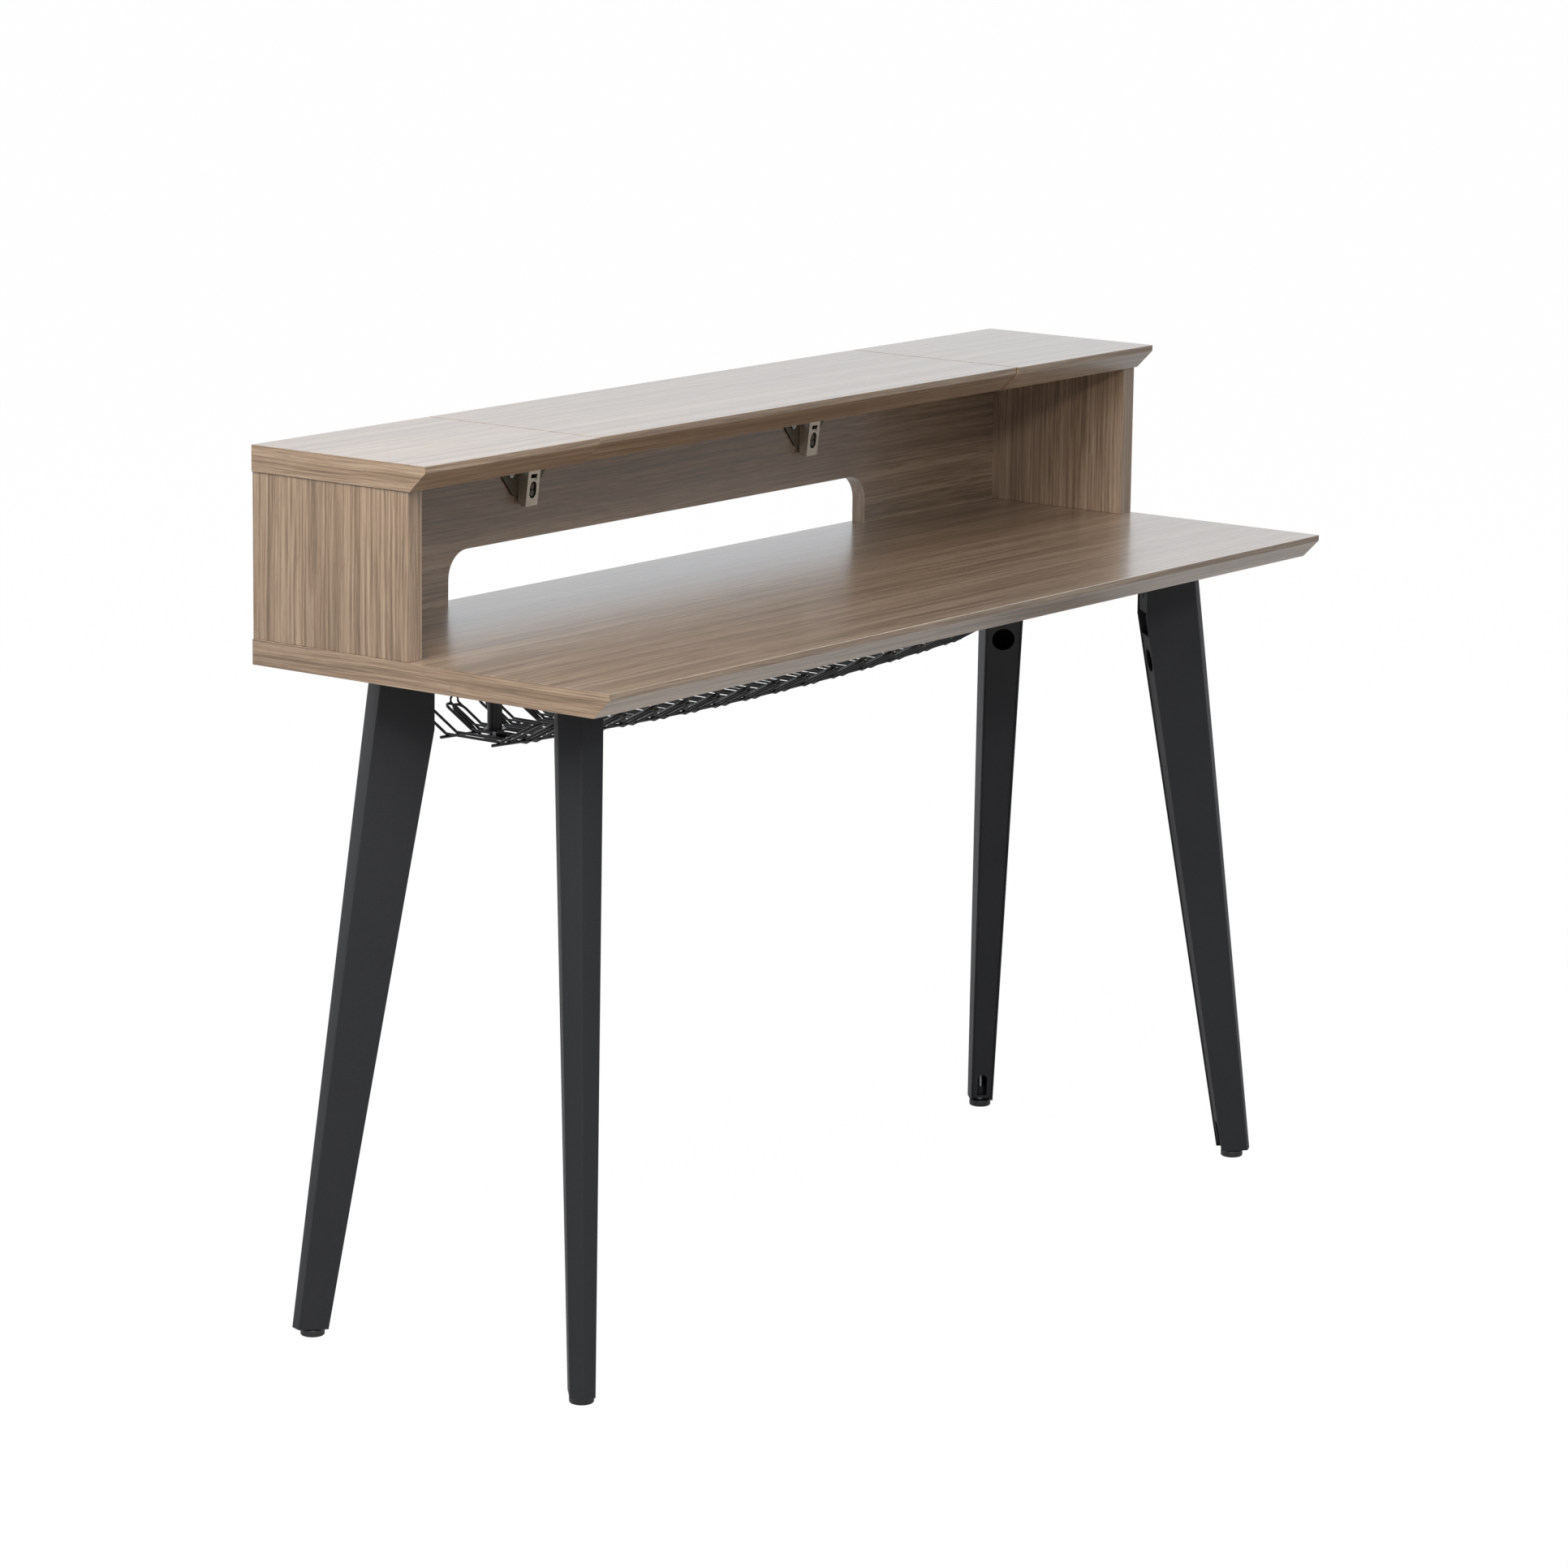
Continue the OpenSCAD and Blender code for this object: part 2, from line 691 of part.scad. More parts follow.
module leg_plate(tag) {
    half_top = half_width(plate_top_z) - leg_sheet - plate_side_gap;
    half_foot = half_width(plate_foot_z) - leg_sheet - plate_side_gap;
    hole_x = (plate_top_drop - hole_drop) / cos(plate_lean);
    slot_x = -plate_length + slot_top_rise - plate_foot_rise;
    color(steel_black)
        at_leg(tag)
            translate([slope_x(plate_top_z) + plate_recess / cos(plate_lean), 0, plate_top_z])
                rotate([0, 90 - plate_lean, 0])
                    mirror([1, 0, 0])
                        linear_extrude(plate_sheet)
                            difference() {
                                polygon([[0, half_top], [0, -half_top],
                                    [-plate_length, -half_foot], [-plate_length, half_foot]]);
                                translate([hole_x, 0])
                                    circle(d = plate_hole);
                                translate([slot_x, 0])
                                    circle(d = plate_slot);
                                translate([-plate_length - cut, -plate_slot / 2])
                                    square([slot_x + plate_length + cut, plate_slot]);
                            }
}

// Bracket: a flat flange under the worktop with a tab that hangs down inside the shell
bracket_reach = 60;
bracket_width = 70;
tab_sheet = 2;
tab_drop = 62.5;
tab_hole = 5;
tab_hole_drop = 44;
bracket_screw_points = [
    for (x = [18, 46], t = [-1, 1]) [inner_x(underside) - x, t * 24]
];
leg_screw_grip = 16;
leg_screw_head = 2.4;

module leg_bracket(tag) {
    tab_half = half_width(underside) - leg_sheet - plate_side_gap - 1.5;
    color(steel_black)
        at_leg(tag)
            difference() {
                union() {
                    translate([0, 0, leg_top_z])
                        linear_extrude(bracket_sheet)
                            union() {
                                polygon([for (p = section(underside, 0, 0)) [p[0], p[1]]]);
                                translate([inner_x(underside) - bracket_reach,
                                    -bracket_width / 2])
                                    square([bracket_reach, bracket_width]);
                            }
                    translate([inner_x(underside) + plate_recess, -tab_half,
                        underside - tab_drop])
                        cube([tab_sheet, 2 * tab_half, tab_drop - bracket_sheet / 2]);
                }
                for (p = bracket_screw_points)
                    bore([p[0], p[1], leg_top_z], wood_screw, bracket_sheet + cut);
                translate([inner_x(underside), 0, underside - tab_hole_drop])
                    rotate([0, 90, 0])
                        cylinder(d = tab_hole, h = plate_recess + tab_sheet + cut);
            }
}

module leg_screws() {
    color(zinc)
        for (tag = ["fl", "fr", "rl", "rr"], p = bracket_screw_points)
            at_leg(tag)
                translate([p[0], p[1], leg_top_z]) {
                    translate([0, 0, -leg_screw_head])
                        cylinder(d = 2 * wood_screw, h = leg_screw_head);
                    cylinder(d = wood_screw, h = bracket_sheet + leg_screw_grip);
                }
}

// ---------------------------------------------------------------- feet

foot_x = wall_x(leg_foot_z) - leg_side_foot / 2;         // middle of the leg's foot section
socket_sheet = 3;
socket_rise = 3;
bush_diameter = stud_diameter + 6;
bush_height = 12;

module foot_socket(tag) {
    base_z = leg_foot_z + socket_rise;
    room = leg_sheet + weld_gap;
    color(zinc)
        at_leg(tag)
            difference() {
                union() {
                    translate([0, 0, base_z])
                        linear_extrude(socket_sheet)
                            intersection() {
                                polygon([for (p = section(base_z, room, 0)) [p[0], p[1]]]);
                                polygon([for (p = section(base_z + socket_sheet, room,
                                    -plate_recess - plate_sheet - 1)) [p[0], p[1]]]);
                            }
                    translate([foot_x, 0, base_z])
                        cylinder(d = bush_diameter, h = bush_height);
                }
                translate([foot_x, 0, base_z - cut])
                    cylinder(d = stud_diameter + 2 * fit, h = bush_height + 2 * cut);
            }
}

module foot_glide(tag) {
    rim = 1.2;
    color(black_plastic)
        at_leg(tag)
            translate([foot_x, 0, 0])
                difference() {
                    rotate_extrude($fn = 48)
                        polygon([[0, 0], [glide_diameter / 2 - rim, 0], [glide_diameter / 2, rim],
                            [glide_diameter / 2, glide_height - rim],
                            [glide_diameter / 2 - rim, glide_height], [0, glide_height]]);
                    translate([0, 0, stud_seat])
                        cylinder(d = stud_diameter, h = glide_height);
                }
}
stud_seat = 3;

module foot_stud(tag) {
    color(zinc)
        at_leg(tag)
            translate([foot_x, 0, stud_seat])
                cylinder(d = stud_diameter, h = glide_height - stud_seat + stud_length);
}

// ---------------------------------------------------------------- cable tray

rod_length = desk_length - 2 * tray_inset;
rod_end_z = underside - tray_drop;
// Radius of the arc that a rod sags along
rod_arc = (rod_length * rod_length / 4 + tray_sag * tray_sag) / (2 * max(tray_sag, 0.1));
rod_half_angle = asin(rod_length / 2 / rod_arc);
function rod_z(x) = rod_end_z - tray_sag + rod_arc - sqrt(rod_arc * rod_arc - x * x);

module tray_rod(end) {
    color(steel_black)
        translate([0, tray_y + end * rod_spacing / 2, rod_end_z - tray_sag + rod_arc])
            rotate([90, 0, 0])
                rotate([0, 0, -90 - rod_half_angle])
                    rotate_extrude(angle = 2 * rod_half_angle, $fn = 180)
                        translate([rod_arc, 0])
                            circle(d = rod_diameter, $fn = 16);
}

// Places a loop across the rods, square to them where it crosses
module on_rods(x) {
    translate([x, 0, rod_z(x)])
        rotate([0, -asin(x / rod_arc), 0])
            children();
}

// One closed wire loop: flat across the rods, both ends turned up and closed in a half ring.
// Its two straight bars stay solids of their own, a hair apart from the bent ends.
front_bend_y = tray_y - rod_spacing / 2 - 3.5;
rear_bend_y = tray_y + rod_spacing / 2 + 1;
joint_swell = 0.1;                           // a joint's ball is this much thicker than its wire
joint_trim = 0.15;                           // pieces of wire stop this far from a joint's middle
bar_gap = 0.1;                               // between a loop's straight bar and its bent ends

module wire(from, to, diameter, trim = joint_trim) {
    span = norm(to - from);
    translate(from)
        rotate([0, acos((to[2] - from[2]) / span), atan2(to[1] - from[1], to[0] - from[0])])
            translate([0, 0, trim])
                cylinder(d = diameter, h = span - 2 * trim, $fn = 16);
}

module joint(at, diameter) {
    translate(at)
        sphere(d = diameter + joint_swell, $fn = 16);
}

module half_ring(width, lean, diameter) {
    trim = joint_trim / width * 360 / PI;
    rotate([lean, 0, 0])
        rotate([0, 0, trim])
            rotate_extrude(angle = 180 - 2 * trim, $fn = 40)
                translate([width / 2, 0])
                    circle(d = diameter, $fn = 16);
}

// A loop's end from its lower corner outwards along +Y, with its tip straight or turned upright.
// A flank is its run and its rise.
module loop_end(width, flank, diameter, upright) {
    lean = atan2(flank[1], flank[0]);
    tip = (norm(flank) - (upright ? diameter : width / 2)) * [0, cos(lean), sin(lean)];
    for (s = [-1, 1]) {
        side = [s * width / 2, 0, 0];
        wire(side, tip + side, diameter);
        joint(tip + side, diameter);
    }
    translate(tip)
        half_ring(width, upright ? 90 : lean, diameter);
}

module loop(width, diameter, front, rear, front_y = front_bend_y, rear_y = rear_bend_y,
        upright = false) {
    bar_trim = (diameter + joint_swell) / 2 + bar_gap;
    for (s = [-1, 1]) {
        front_corner = [s * width / 2, front_y, 0];
        rear_corner = [s * width / 2, rear_y, 0];
        wire(front_corner, rear_corner, diameter, bar_trim);
        joint(front_corner, diameter);
        joint(rear_corner, diameter);
    }
    translate([0, front_y, 0])
        mirror([0, 1, 0])
            loop_end(width, front, diameter, false);
    translate([0, rear_y, 0])
        loop_end(width, rear, diameter, upright);
}

loop_rest = (rod_diameter + wire_diameter) / 2 + fit;    // wire's centre above a rod's centre
loop_pitch = (rod_length - first_inset - last_inset) / (loop_count - 1);
row_x = [for (i = [0:loop_count - 1]) i * loop_pitch + first_inset - rod_length / 2];
front_flank = [front_run, front_rise];
rear_flank = [rear_run, rear_rise];

// A single wider lower loop, with a longer front flank, lies beside the rows at the left
end_loop_x = 18 - rod_length / 2;
end_loop_width = 17.4;
end_loop_front = front_flank * 1.37;

module tray_loops_lower() {
    color(steel_black) {
        on_rods(end_loop_x)
            translate([0, 0, loop_rest])
                loop(end_loop_width, wire_diameter, end_loop_front, rear_flank);
        for (x = row_x)
            on_rods(x)
                translate([0, 0, loop_rest])
                    loop(loop_width, wire_diameter, front_flank, rear_flank);
    }
}

// The upper loops' flanks lie on the lower loops' ends, so their beds bend further out
flank_rest = (wire_diameter + upper_wire) / 2 + fit;
function bend_out(flank) =
    (upper_lift - flank_rest / cos(atan2(flank[1], flank[0]))) * flank[0] / flank[1];
function upper_flank(flank) = flank * (1 - bend_out(flank) / flank[0]);

module tray_loops_upper() {
    color(steel_black)
        for (x = row_x)
            on_rods(x)
                translate([upper_shift, 0, loop_rest + upper_lift])
                    loop(loop_width, upper_wire, upper_flank(front_flank),
                        upper_flank(rear_flank), front_bend_y - bend_out(front_flank),
                        rear_bend_y + bend_out(rear_flank), upright = true);
}

// Posts hang the tray from the worktop. Each has one clamp disc under the lower loops' wires and
// one over the upper loops' wires, and its bolt passes beside a wire.
clamp_diameter = 24;
clamp_sheet = 2;
tray_bolt = 4;
bolt_grip = 18;
bolt_head = 3;
gripped_x = [row_x[0], row_x[loop_count - 1]];           // the loop that each post stands beside
post_x = [gripped_x[0] - loop_width / 2 - 5.8, gripped_x[1] - loop_width / 2 - 11.4];
function clamp_low_z(side) =
    rod_z(gripped_x[side]) - loop_width / 2 * gripped_x[side] / rod_arc
        + loop_rest - wire_diameter / 2 - fit - clamp_sheet;
function clamp_high_z(side) =
    rod_z(gripped_x[side]) + loop_rest + upper_lift + upper_wire / 2 + fit;

module tray_post(side) {
    base_z = clamp_high_z(side) + clamp_sheet;
    color(steel_black)
        translate([post_x[side], tray_y, base_z])
            difference() {
                cylinder(d = post_diameter, h = underside - base_z);
                translate([0, 0, -cut])
                    cylinder(d = tray_bolt + 2 * fit, h = underside - base_z + 2 * cut);
            }
}

module tray_clamps() {
    color(steel_black)
        for (side = [0, 1], z = [clamp_low_z(side), clamp_high_z(side)])
            translate([post_x[side], tray_y, z])
                difference() {
                    cylinder(d = clamp_diameter, h = clamp_sheet);
                    translate([0, 0, -cut])
                        cylinder(d = tray_bolt + 2 * fit, h = clamp_sheet + 2 * cut);
                }
}

module tray_bolts() {
    color(zinc)
        for (side = [0, 1])
            translate([post_x[side], tray_y, clamp_low_z(side)]) {
                translate([0, 0, -bolt_head])
                    cylinder(d = 2 * tray_bolt, h = bolt_head);
                cylinder(d = tray_bolt, h = underside - clamp_low_z(side) + bolt_grip);
            }
}

// ---------------------------------------------------------------- nodes

worktop();
side_panel(-1);  // side_panel_left
side_panel(1);  // side_panel_right
back_panel();
top_board(-1);  // top_board_left
top_board(1);  // top_board_right
lid();
lid_rest(-1);  // lid_rest_left
lid_rest(1);  // lid_rest_right
hinge_plate(-1);  // hinge_plate_left
hinge_plate(1);  // hinge_plate_right
hinge_arm(-1);  // hinge_arm_left
hinge_arm(1);  // hinge_arm_right
hinge_cup(-1);  // hinge_cup_left
hinge_cup(1);  // hinge_cup_right
hinge_link(-1);  // hinge_link_left
hinge_link(1);  // hinge_link_right
arm_pins();
cup_pins();
hinge_adjusters();
hinge_plate_screws();
cup_screws();
lid_rest_screws();
dowels();
hutch_screws();
leg_shell("fl");  // leg_shell_fl
leg_shell("fr");  // leg_shell_fr
leg_shell("rl");  // leg_shell_rl
leg_shell("rr");  // leg_shell_rr
leg_plate("fl");  // leg_plate_fl
leg_plate("fr");  // leg_plate_fr
leg_plate("rl");  // leg_plate_rl
leg_plate("rr");  // leg_plate_rr
leg_bracket("fl");  // leg_bracket_fl
leg_bracket("fr");  // leg_bracket_fr
leg_bracket("rl");  // leg_bracket_rl
leg_bracket("rr");  // leg_bracket_rr
leg_screws();
foot_socket("fl");  // foot_socket_fl
foot_socket("fr");  // foot_socket_fr
foot_socket("rl");  // foot_socket_rl
foot_socket("rr");  // foot_socket_rr
foot_glide("fl");  // foot_glide_fl
foot_glide("fr");  // foot_glide_fr
foot_glide("rl");  // foot_glide_rl
foot_glide("rr");  // foot_glide_rr
foot_stud("fl");  // foot_stud_fl
foot_stud("fr");  // foot_stud_fr
foot_stud("rl");  // foot_stud_rl
foot_stud("rr");  // foot_stud_rr
tray_rod(-1);  // tray_rod_front
tray_rod(1);  // tray_rod_rear
tray_loops_lower();
tray_loops_upper();
tray_post(0);  // tray_post_left
tray_post(1);  // tray_post_right
tray_clamps();
tray_bolts();
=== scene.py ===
import math

import bmesh
import bpy
from mathutils import Euler, Matrix, Vector


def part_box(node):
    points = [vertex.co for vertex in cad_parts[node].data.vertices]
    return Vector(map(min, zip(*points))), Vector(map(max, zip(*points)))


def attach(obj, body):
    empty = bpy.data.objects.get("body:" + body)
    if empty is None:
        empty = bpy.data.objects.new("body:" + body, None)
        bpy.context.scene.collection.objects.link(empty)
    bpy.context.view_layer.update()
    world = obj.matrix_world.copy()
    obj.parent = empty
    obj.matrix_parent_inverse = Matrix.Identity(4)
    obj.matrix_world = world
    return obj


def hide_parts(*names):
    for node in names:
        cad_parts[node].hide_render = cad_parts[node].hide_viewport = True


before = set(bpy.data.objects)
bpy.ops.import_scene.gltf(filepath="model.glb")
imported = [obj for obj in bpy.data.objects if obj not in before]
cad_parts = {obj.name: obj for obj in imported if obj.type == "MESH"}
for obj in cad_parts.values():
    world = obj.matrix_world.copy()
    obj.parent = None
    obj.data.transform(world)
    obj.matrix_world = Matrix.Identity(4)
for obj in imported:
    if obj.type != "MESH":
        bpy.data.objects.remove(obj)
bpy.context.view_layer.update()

# --------------------------------------------------------------------------------- worktop
# Particle board faced with a wood-grain melamine laminate, pressed with a fine satin grain.
# Its edges are banded with the same print and softened by a router, and the front edge is
# undercut at 45 degrees so that the board looks thin from the chair.

# the print's streaks: length and width in millimetres, and noise detail
bands = (1100, 17, 1)                # broad bands
lines = (420, 3.2, 2)                # growth lines
fibres = (60, 1.2, 2)                # fibres, a little coarser than the real 0.8 mm
pores = (16, 0.9, 1)                 # short dark pores
band_share, line_share, fibre_share = 0.25, 0.42, 0.33
print_tones = ((0.40, "#75624e"), (0.455, "#8a745e"), (0.50, "#98816b"), (0.545, "#a58f78"),
               (0.60, "#b39e88"))
pore_tone = "#5a4736"
pore_low, pore_high, pore_strength = 0.60, 0.74, 0.36
wander_length_mm, wander_width_mm = 312.5, 111.1
wander_reach = 0.012                 # sideways, in metres, like every size without a unit
end_face = 0.72                      # a face turned to X more than this is a board's end
noise_low, noise_high = 0.3, 0.7     # nearly all of a noise's values lie between these
satin_low, satin_high = 0.38, 0.47   # roughness of the satin skin
print_relief, print_depth = 0.2, 0.0002


def linear(hex_colour):
    """A hex sRGB colour as linear red, green, blue and alpha."""
    parts = [int(hex_colour[i:i + 2], 16) / 255 for i in (1, 3, 5)]
    return [c / 12.92 if c <= 0.04045 else ((c + 0.055) / 1.055) ** 2.4 for c in parts] + [1]


def add(tree, kind, links=(), **settings):
    """Adds one node: its settings, then its inputs, each a value or another node's output.
    A mix node's vectors are inputs 4 and 5, and its colours 6 and 7. A map range goes from
    the range in inputs 1 and 2 to the one in 3 and 4."""
    node = tree.nodes.new(kind)
    for name, value in settings.items():
        setattr(node, name, value)
    for key, value in dict(links).items():
        if isinstance(value, bpy.types.NodeSocket):
            tree.links.new(value, node.inputs[key])
        else:
            node.inputs[key].default_value = value
    return node


def new_material(name):
    """A new material with its node tree and its shader."""
    material = bpy.data.materials.new(name)
    material.use_nodes = True
    tree = material.node_tree
    return material, tree, tree.nodes["Principled BSDF"]


def along_the_grain(tree, grain, cut_from):
    """A point on a board with its first axis along the print, which wanders sideways."""
    place = add(tree, "ShaderNodeTexCoord").outputs["Object"]
    axes = add(tree, "ShaderNodeSeparateXYZ", {0: place}).outputs
    on_face, on_end = [add(tree, "ShaderNodeCombineXYZ",
                           {i: axes[a] for i, a in enumerate(order)}).outputs[0]
                       for order in grain]
    facing = add(tree, "ShaderNodeNewGeometry").outputs["True Normal"]
    facing = add(tree, "ShaderNodeSeparateXYZ", {0: facing}).outputs["X"]
    facing = add(tree, "ShaderNodeMath", {0: facing}, operation="ABSOLUTE").outputs[0]
    is_end = add(tree, "ShaderNodeMath", {0: facing, 1: end_face}, operation="GREATER_THAN")
    along = add(tree, "ShaderNodeMix", {0: is_end.outputs[0], 4: on_face, 5: on_end},
                data_type="VECTOR").outputs[1]
    along = add(tree, "ShaderNodeVectorMath", {0: along, 1: cut_from}, operation="ADD").outputs[0]
    across = 1000 / wander_width_mm
    wander = add(tree, "ShaderNodeVectorMath",
                 {0: along, 1: (1000 / wander_length_mm, across, across)}, operation="MULTIPLY")
    wander = add(tree, "ShaderNodeTexNoise", {0: wander.outputs[0], "Scale": 1, "Detail": 1})
    wander = add(tree, "ShaderNodeVectorMath",
                 {0: wander.outputs["Color"], 1: (0, wander_reach, wander_reach)},
                 operation="MULTIPLY")
    return add(tree, "ShaderNodeVectorMath", {0: along, 1: wander.outputs[0]},
               operation="ADD").outputs[0]


def streaks(tree, along, length_mm, width_mm, detail):
    """Noise drawn out along the grain, from a streak's real length and width."""
    size = (1000 / length_mm, 1000 / width_mm, 1000 / width_mm)
    drawn_out = add(tree, "ShaderNodeVectorMath", {0: along, 1: size}, operation="MULTIPLY")
    return add(tree, "ShaderNodeTexNoise", {0: drawn_out.outputs[0], "Scale": 1,
                                            "Detail": detail}).outputs["Fac"]


def laminate(name, grain, cut_from):
    """Melamine wood-grain laminate, a printed paper under a clear satin skin. grain orders the
    axes so that the print runs along the first one, for a board's faces and then for its ends.
    cut_from is a place on the printed sheet, so that no two boards are alike."""
    material, tree, shader = new_material(name)
    along = along_the_grain(tree, grain, cut_from)
    band, line, fibre, pore = [streaks(tree, along, *kind)
                               for kind in (bands, lines, fibres, pores)]
    tone = 0.0
    for streak, share in ((band, band_share), (line, line_share), (fibre, fibre_share)):
        tone = add(tree, "ShaderNodeMath", {0: streak, 1: share, 2: tone},
                   operation="MULTIPLY_ADD").outputs[0]
    printed = add(tree, "ShaderNodeValToRGB", {0: tone})
    while len(printed.color_ramp.elements) < len(print_tones):
        printed.color_ramp.elements.new(0.5)
    for element, (position, colour) in zip(printed.color_ramp.elements, print_tones):
        element.position = position
        element.color = linear(colour)
    dark = add(tree, "ShaderNodeMapRange", {0: pore, 1: pore_low, 2: pore_high, 3: 0.0,
                                            4: pore_strength})
    colour = add(tree, "ShaderNodeMix", {0: dark.outputs[0], 6: printed.outputs[0],
                                         7: linear(pore_tone)}, data_type="RGBA")
    tree.links.new(colour.outputs[2], shader.inputs["Base Color"])
    satin = add(tree, "ShaderNodeMapRange", {0: line, 1: noise_low, 2: noise_high, 3: satin_low,
                                             4: satin_high})
    tree.links.new(satin.outputs[0], shader.inputs["Roughness"])
    relief = add(tree, "ShaderNodeBump", {"Height": fibre, "Strength": print_relief,
                                          "Distance": print_depth})
    tree.links.new(relief.outputs["Normal"], shader.inputs["Normal"])
    shader.inputs["IOR"].default_value = 1.5
    # the clear melamine skin over the print, which turns pale at a low angle
    shader.inputs["Coat Weight"].default_value = 1.0
    shader.inputs["Coat Roughness"].default_value = 0.22
    shader.inputs["Coat IOR"].default_value = 1.62
    return material


weld_distance = 1e-6                 # corners nearer than this are one
flat_angle = math.radians(0.5)       # faces that turn less than this are one
corner_angle = math.radians(20)      # edges that turn more than this are rounded
smooth_angle = math.radians(33)      # edges that turn less than this are shaded smooth
edge_steps = 3


def dressed(name, mesh, material, smooth_up_to=smooth_angle):
    """An object from a mesh, shaded smooth up to an angle, in one material."""
    mesh.shade_smooth()
    mesh.set_sharp_from_angle(angle=smooth_up_to)
    mesh.materials.clear()
    mesh.materials.append(material)
    piece = bpy.data.objects.new(name, mesh)
    bpy.context.scene.collection.objects.link(piece)
    return piece


def softened(node, radius, shortest, material):
    """A CAD node's shape with its long edges rounded: edges under shortest stay crisp."""
    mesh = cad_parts[node].data.copy()
    shape = bmesh.new()
    shape.from_mesh(mesh)
    bmesh.ops.remove_doubles(shape, verts=shape.verts, dist=weld_distance)
    bmesh.ops.dissolve_limit(shape, angle_limit=flat_angle, verts=shape.verts,
                             edges=shape.edges)
    chosen = [e for e in shape.edges if len(e.link_faces) == 2 and e.calc_length() > shortest
              and e.calc_face_angle(0) > corner_angle]
    bmesh.ops.bevel(shape, geom=chosen, offset=radius, segments=edge_steps, profile=0.5,
                    affect="EDGES", clamp_overlap=True)
    shape.to_mesh(mesh)
    shape.free()
    piece = dressed(node + "_soft", mesh, material)
    flat = piece.modifiers.new("flat faces stay flat", "WEIGHTED_NORMAL")
    flat.keep_sharp = True
    flat.weight = 100
    return piece


def fitted(piece, body, slot, *nodes):
    """Fixes a piece to its body in place of CAD nodes. slot, a finish's name, is not used."""
    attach(piece, body)
    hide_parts(*nodes)


board_edge, board_shortest = 0.0006, 0.012
grain_along_desk = ("XYZ", "YZX")    # on a board's ends the print runs along Y


def board(name, body, grain, cut_from):
    """A CAD board in its own cut of laminate, with its long edges softened."""
    surface = laminate("melamine laminate, " + name.replace("_", " "), grain, cut_from)
    fitted(softened(name, board_edge, board_shortest, surface), body, "laminate", name)


board("worktop", "desk", grain_along_desk, (0.31, 0.17, 0.05))

# ----------------------------------------------------------------------------- side panels
# The same laminated board, cut with its grain upright and banded on its front edge. Each panel
# is dowelled under a top board and screwed up through the worktop.

grain_upright = ("ZYX", "ZYX")
for tag, cut_from in (("left", (0.8, 0.33, 0.61)), ("right", (1.7, 0.52, 0.13))):
    board("side_panel_" + tag, "desk", grain_upright, cut_from)

# ------------------------------------------------------------------------------ back panel
# An 18 mm laminated board between the side panels, with the grain along the desk. The cable
# opening is routed out of its lower edge and banded round its two corners.

grain_with_upright_ends = ("XYZ", "ZYX")
board("back_panel", "desk", grain_with_upright_ends, (2.6, 0.74, 0.42))

# ---------------------------------------------------------------------- top boards and lid
# Three 28 mm laminated boards in a row with the worktop's undercut front edge. The outer two are
# dowelled to the side panels; the middle one is the lid and turns up on two concealed hinges.

board("top_board_left", "desk", grain_along_desk, (3.9, 0.21, 0.77))
board("top_board_right", "desk", grain_along_desk, (5.3, 0.46, 0.29))
board("lid", "lid", grain_along_desk, (4.4, 0.91, 0.55))

# -------------------------------------------------------------------------------- the legs
# Each leg is folded from 2 mm sheet steel: a ridge on the outside, two walls, and an inner plate
# welded in between them. It is sprayed with a fine-texture epoxy powder and baked, which gives
# a dense near-black with a soft sheen along the folds.

cloud_mm = 111                       # slow drift of the sheen
cloud_low, cloud_high = 0.35, 0.65
sheen_drift = 0.04                   # how far the roughness strays either way
grit_relief, grit_depth = 0.35, 0.0002


def powder_coat(name, colours, grit_mm, roughness):
    """Baked epoxy powder over steel: a skin of fine grit whose sheen drifts a little."""
    material, tree, shader = new_material(name)
    place = add(tree, "ShaderNodeTexCoord").outputs["Object"]
    grit = add(tree, "ShaderNodeTexNoise", {"Vector": place, "Scale": 1000 / grit_mm,
                                            "Detail": 2}).outputs["Fac"]
    cloud = add(tree, "ShaderNodeTexNoise", {"Vector": place, "Scale": 1000 / cloud_mm,
                                             "Detail": 2}).outputs["Fac"]
    tint = add(tree, "ShaderNodeMapRange", {0: grit, 1: noise_low, 2: noise_high, 3: 0.0,
                                            4: 1.0})
    shade = add(tree, "ShaderNodeMix", {0: tint.outputs[0], 6: linear(colours[0]),
                                        7: linear(colours[1])}, data_type="RGBA")
    tree.links.new(shade.outputs[2], shader.inputs["Base Color"])
    sheen = add(tree, "ShaderNodeMapRange", {0: cloud, 1: cloud_low, 2: cloud_high,
                                             3: roughness - sheen_drift,
                                             4: roughness + sheen_drift})
    tree.links.new(sheen.outputs[0], shader.inputs["Roughness"])
    relief = add(tree, "ShaderNodeBump", {"Height": grit, "Strength": grit_relief,
                                          "Distance": grit_depth})
    tree.links.new(relief.outputs["Normal"], shader.inputs["Normal"])
    shader.inputs["IOR"].default_value = 1.45
    return material


leg_powder = powder_coat("epoxy powder coat, near-black", ("#101215", "#1a1d21"), 0.9, 0.6)

worktop_low, worktop_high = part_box("worktop")
underside, desk_half = worktop_low.z, worktop_high.x
